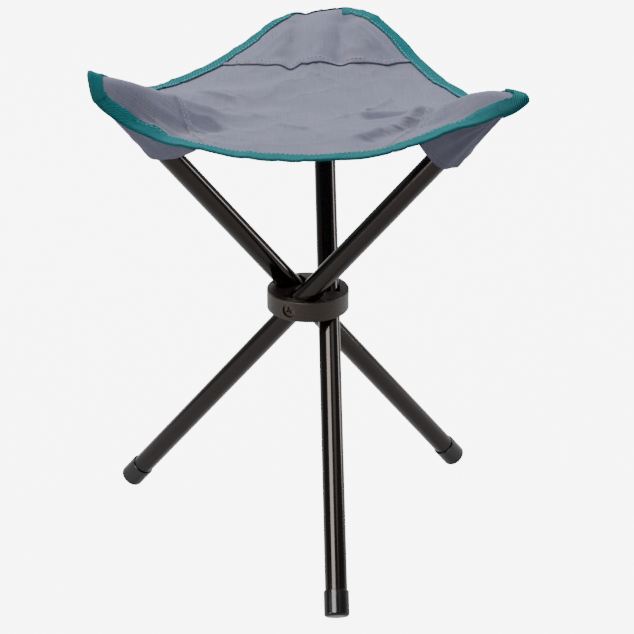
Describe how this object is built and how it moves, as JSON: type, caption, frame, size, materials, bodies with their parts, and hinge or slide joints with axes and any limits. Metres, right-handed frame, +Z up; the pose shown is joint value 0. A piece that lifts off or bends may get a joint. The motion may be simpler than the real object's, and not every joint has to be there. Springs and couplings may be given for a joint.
{
  "type": "three leg folding stool",
  "caption": "Folding camp stool: crossed tubular legs that pivot in a round hub and carry a dished cloth seat, which has a bound edge and a pocket over each leg.",
  "frame": {"origin": "the floor point under the axis of the hub", "axes": "+Z up along the hub's axis, +Y to the back, where one seat corner points within 6 degrees, +X to the right as seen from the front"},
  "size_m": [0.358, 0.381, 0.4442],
  "materials": {
    "hub_plastic": "black moulded nylon with a satin skin and fine lines round its band",
    "screw_steel": "blackened steel, satin",
    "tube_enamel": "glossy black enamel on drawn steel tube",
    "cap_plastic": "black moulded plastic, satin",
    "plug_plastic": "black moulded plastic, satin",
    "seat_cloth": "grey plain-weave polyester, coated on the underside",
    "patch_cloth": "grey plain-weave polyester",
    "pocket_cloth": "grey plain-weave polyester",
    "binding_tape": "teal ribbed polyester binding tape"
  },
  "bodies": {
    "hub": {"hub": "hub_plastic", "pivot_screw_back": "screw_steel", "pivot_screw_left": "screw_steel", "pivot_screw_right": "screw_steel"},
    "leg_back": {"leg_tube_back": "tube_enamel", "foot_cap_back": "cap_plastic", "top_plug_back": "plug_plastic"},
    "seat_back": {"seat_panel_back": "seat_cloth", "corner_patch_back": "patch_cloth", "seat_binding_back": "binding_tape", "leg_pocket_back": "pocket_cloth"},
    "leg_left": {"leg_tube_left": "tube_enamel", "foot_cap_left": "cap_plastic", "top_plug_left": "plug_plastic"},
    "seat_left": {"seat_panel_left": "seat_cloth", "corner_patch_left": "patch_cloth", "seat_binding_left": "binding_tape", "leg_pocket_left": "pocket_cloth"},
    "leg_right": {"leg_tube_right": "tube_enamel", "foot_cap_right": "cap_plastic", "top_plug_right": "plug_plastic"},
    "seat_right": {"seat_panel_right": "seat_cloth", "corner_patch_right": "patch_cloth", "seat_binding_right": "binding_tape", "leg_pocket_right": "pocket_cloth"}
  },
  "joints": [
    {"name": "fold_back", "type": "hinge", "parent": "hub", "child": "leg_back", "pos_m": [0.0182, 0, 0.22191], "axis": [1, 0, 0], "range_deg": [0, 40]},
    {"name": "gather_back", "type": "hinge", "parent": "leg_back", "child": "seat_back", "pos_m": [0.0182, 0.18319, 0.44023], "axis": [0.2157, -0.825, -0.5224], "range_deg": [0, 91], "deforming": ["seat_panel_back", "corner_patch_back", "seat_binding_back", "leg_pocket_back"]},
    {"name": "fold_left", "type": "hinge", "parent": "hub", "child": "leg_left", "pos_m": [-0.0091, 0.01576, 0.22191], "axis": [-0.5, 0.866, 0], "range_deg": [0, 40]},
    {"name": "gather_left", "type": "hinge", "parent": "leg_left", "child": "seat_left", "pos_m": [-0.16775, -0.07584, 0.44023], "axis": [0.6066, 0.5993, -0.5224], "range_deg": [0, 91], "deforming": ["seat_panel_left", "corner_patch_left", "seat_binding_left", "leg_pocket_left"]},
    {"name": "fold_right", "type": "hinge", "parent": "hub", "child": "leg_right", "pos_m": [-0.0091, -0.01576, 0.22191], "axis": [-0.5, -0.866, 0], "range_deg": [0, 40]},
    {"name": "gather_right", "type": "hinge", "parent": "leg_right", "child": "seat_right", "pos_m": [0.14955, -0.10736, 0.44023], "axis": [-0.8223, 0.2257, -0.5224], "range_deg": [0, 91], "deforming": ["seat_panel_right", "corner_patch_right", "seat_binding_right", "leg_pocket_right"]}
  ],
  "couplings": [
    {"joint": "fold_back", "follows": "fold_left", "ratio": 1},
    {"joint": "fold_right", "follows": "fold_left", "ratio": 1},
    {"joint": "gather_back", "follows": "fold_left", "ratio": 2.2689},
    {"joint": "gather_left", "follows": "fold_left", "ratio": 2.2689},
    {"joint": "gather_right", "follows": "fold_left", "ratio": 2.2689}
  ]
}
